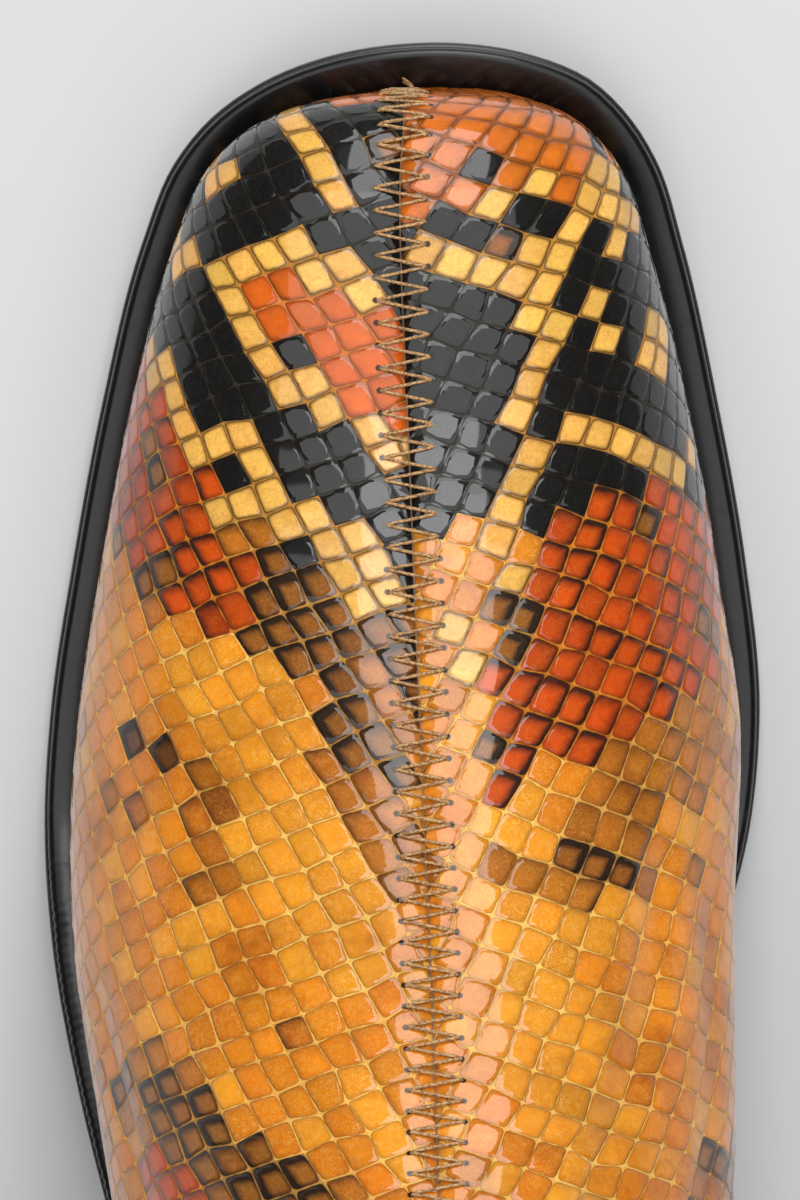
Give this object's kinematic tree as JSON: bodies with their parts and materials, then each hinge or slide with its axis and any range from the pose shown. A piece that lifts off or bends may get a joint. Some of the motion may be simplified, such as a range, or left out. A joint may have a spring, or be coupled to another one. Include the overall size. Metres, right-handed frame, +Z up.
{
  "type": "cowboy boot",
  "caption": "Left western boot with a welted sole, stacked heel, closed centre front seam, lined snake-embossed upper, scalloped top and two pull straps.",
  "frame": {"origin": "on the ground, under the middle of the outsole's length and width", "axes": "+Z up along the shaft, -Y towards the toe, +X towards the outer (lateral) side of this left boot"},
  "size_m": [0.1052, 0.28, 0.341],
  "materials": {
    "snake_leather": "patent, snake-embossed, amber, rust, cream and black",
    "lining_leather": "matte, vegetable tanned",
    "stiffener": "stiffened felt board",
    "stay_tape": "woven cotton",
    "black_leather": "glossy",
    "strap_leather": "glossy",
    "sole_leather": "black, polished",
    "black_welt": "black, high gloss",
    "sole_leather_raw": "raw, vegetable tanned",
    "filler": "cork granules",
    "steel": "plain",
    "heel_stack": "black edge ink, polished",
    "heel_rubber": "matte"
  },
  "bodies": {
    "boot": {"lateral_panel": "snake_leather", "medial_panel": "snake_leather", "lateral_lining": "lining_leather", "medial_lining": "lining_leather", "toe_puff": "stiffener", "heel_counter": "stiffener", "front_stay_tape": "stay_tape", "back_stay_tape": "stay_tape", "back_strip": "snake_leather", "lateral_collar_binding": "black_leather", "medial_collar_binding": "black_leather", "lateral_strap_outer_leg": "strap_leather", "lateral_strap_inner_leg": "strap_leather", "medial_strap_outer_leg": "strap_leather", "medial_strap_inner_leg": "strap_leather", "outsole": "sole_leather", "welt": "black_welt", "heel_rand": "black_welt", "insole_rib": "sole_leather_raw", "bottom_filler": "filler", "insole": "sole_leather_raw", "sock_lining": "lining_leather", "shank": "steel", "heel_cap": "heel_rubber", "heel_seat_lift": "heel_stack", "heel_nails": "steel", "heel_lift_1": "heel_stack", "heel_lift_2": "heel_stack", "heel_lift_3": "heel_stack", "heel_lift_4": "heel_stack", "heel_lift_5": "heel_stack"},
    "lateral_strap": {"lateral_strap_loop": "strap_leather"},
    "medial_strap": {"medial_strap_loop": "strap_leather"}
  },
  "joints": [
    {"name": "lateral_strap_swing", "type": "hinge", "parent": "boot", "child": "lateral_strap", "pos_m": [0.045, 0.07425, 0.3195], "axis": [0, 1, 0], "range_deg": [-20, 40], "stiffness_Nm_per_rad": 0.02},
    {"name": "medial_strap_swing", "type": "hinge", "parent": "boot", "child": "medial_strap", "pos_m": [-0.0452, 0.07425, 0.3195], "axis": [0, 1, 0], "range_deg": [-40, 20], "stiffness_Nm_per_rad": 0.02}
  ]
}
